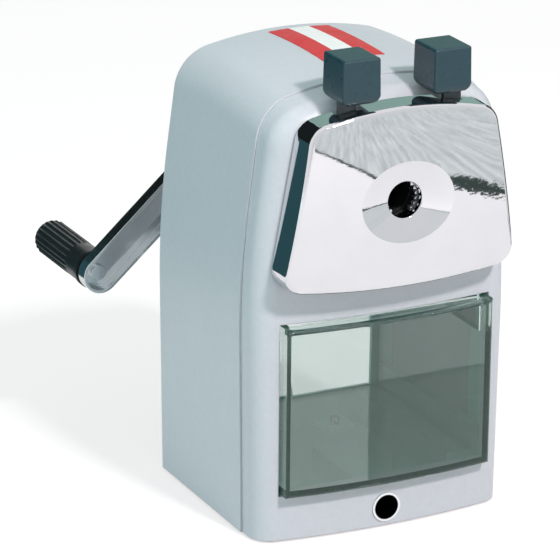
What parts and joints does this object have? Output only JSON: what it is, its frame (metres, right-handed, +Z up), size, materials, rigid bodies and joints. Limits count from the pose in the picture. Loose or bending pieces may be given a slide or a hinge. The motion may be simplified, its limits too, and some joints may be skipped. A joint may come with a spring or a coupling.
{
  "type": "hand-cranked pencil sharpener",
  "caption": "Upright desk pencil sharpener with a sprung pull-out faceplate, squeeze-tab pencil jaws, a rear hand crank driving a geared helical cutter, and a shavings drawer.",
  "frame": {"origin": "on the table, under the middle of the width, on the face of the base pad", "axes": "+Z up, front with the pencil hole facing -Y, +X to the right seen from the front"},
  "size_m": [0.0816, 0.1158, 0.1206],
  "materials": {
    "casing_paint": "smooth satin enamel, light cool grey",
    "chrome_plate": "polished chrome plating",
    "bright_steel": "plain drawn steel",
    "tool_steel": "ground hardened steel",
    "carrier_alloy": "die-cast alloy",
    "bush_brass": "turned brass",
    "black_moulding": "fine matte moulding",
    "tab_plastic": "satin black moulding",
    "knob_plastic": "glossy black moulding with lengthwise ribs",
    "smoke_plastic": "clear smoke-tinted moulding",
    "base_moulding": "fine matte moulding, pale grey-green",
    "lever_steel": "blackened sheet steel",
    "pad_rubber": "matte non-slip rubber",
    "label": "printed film sticker without words"
  },
  "bodies": {
    "casing": {"rear_shell": "casing_paint", "front_frame": "casing_paint", "pencil_guide": "black_moulding", "top_label": "label", "base_tray": "base_moulding", "base_screws": "bright_steel", "base_pad": "pad_rubber", "clamp_socket": "chrome_plate", "rod_bush_left": "bush_brass", "rod_bush_right": "bush_brass", "return_spring_left": "bright_steel", "return_spring_right": "bright_steel", "gear_housing": "black_moulding", "housing_screws": "bright_steel", "ring_gear": "black_moulding", "shaft_bush": "bush_brass"},
    "faceplate": {"faceplate": "chrome_plate", "back_plate": "bright_steel", "back_plate_screws": "bright_steel", "guide_rod_left": "chrome_plate", "guide_rod_right": "chrome_plate", "rod_clips": "bright_steel", "lever_pins": "bright_steel", "jaw_spring": "bright_steel"},
    "left_lever": {"lever_left": "lever_steel", "jaw_left": "tool_steel", "tab_left": "tab_plastic"},
    "right_lever": {"lever_right": "lever_steel", "jaw_right": "tool_steel", "tab_right": "tab_plastic"},
    "drawer": {"drawer": "smoke_plastic"},
    "crank": {"crank_shaft": "bright_steel", "crank_arm": "chrome_plate", "crank_washer": "bright_steel", "crank_nut": "bright_steel", "cutter_carrier": "carrier_alloy", "cutter_axle": "bright_steel", "knob_rivet": "bright_steel"},
    "knob": {"knob": "knob_plastic"},
    "cutter": {"cutter": "tool_steel", "cutter_pinion": "tool_steel"}
  },
  "joints": [
    {"name": "crank_turn", "type": "hinge", "parent": "casing", "child": "crank", "pos_m": [0, 0.04, 0.0852], "axis": [0, 1, 0], "continuous": true},
    {"name": "knob_spin", "type": "hinge", "parent": "crank", "child": "knob", "pos_m": [-0.04222, 0.06, 0.04705], "axis": [0, 1, 0], "continuous": true},
    {"name": "cutter_spin", "type": "hinge", "parent": "crank", "child": "cutter", "pos_m": [0, 0.05697, 0.0852], "axis": [0, 0.9833, -0.1822], "continuous": true},
    {"name": "faceplate_slide", "type": "slide", "parent": "casing", "child": "faceplate", "axis": [0, -1, 0], "range_m": [0, 0.028], "stiffness_N_per_m": 120, "springref_m": -0.02, "deforming": ["return_spring_left", "return_spring_right"]},
    {"name": "left_tab_squeeze", "type": "hinge", "parent": "faceplate", "child": "left_lever", "pos_m": [-0.0075, -0.0356, 0.0977], "axis": [0, 1, 0], "range_deg": [0, 7], "stiffness_Nm_per_rad": 0.05, "springref_deg": -28.65, "deforming": ["jaw_spring"]},
    {"name": "right_tab_squeeze", "type": "hinge", "parent": "faceplate", "child": "right_lever", "pos_m": [0.0075, -0.0356, 0.0977], "axis": [0, -1, 0], "range_deg": [0, 7], "stiffness_Nm_per_rad": 0.05, "springref_deg": -28.65},
    {"name": "drawer_slide", "type": "slide", "parent": "casing", "child": "drawer", "axis": [0, -1, 0], "range_m": [0, 0.05]}
  ],
  "couplings": [
    {"joint": "cutter_spin", "follows": "crank_turn", "ratio": -2.2},
    {"joint": "right_tab_squeeze", "follows": "left_tab_squeeze", "ratio": 1}
  ]
}
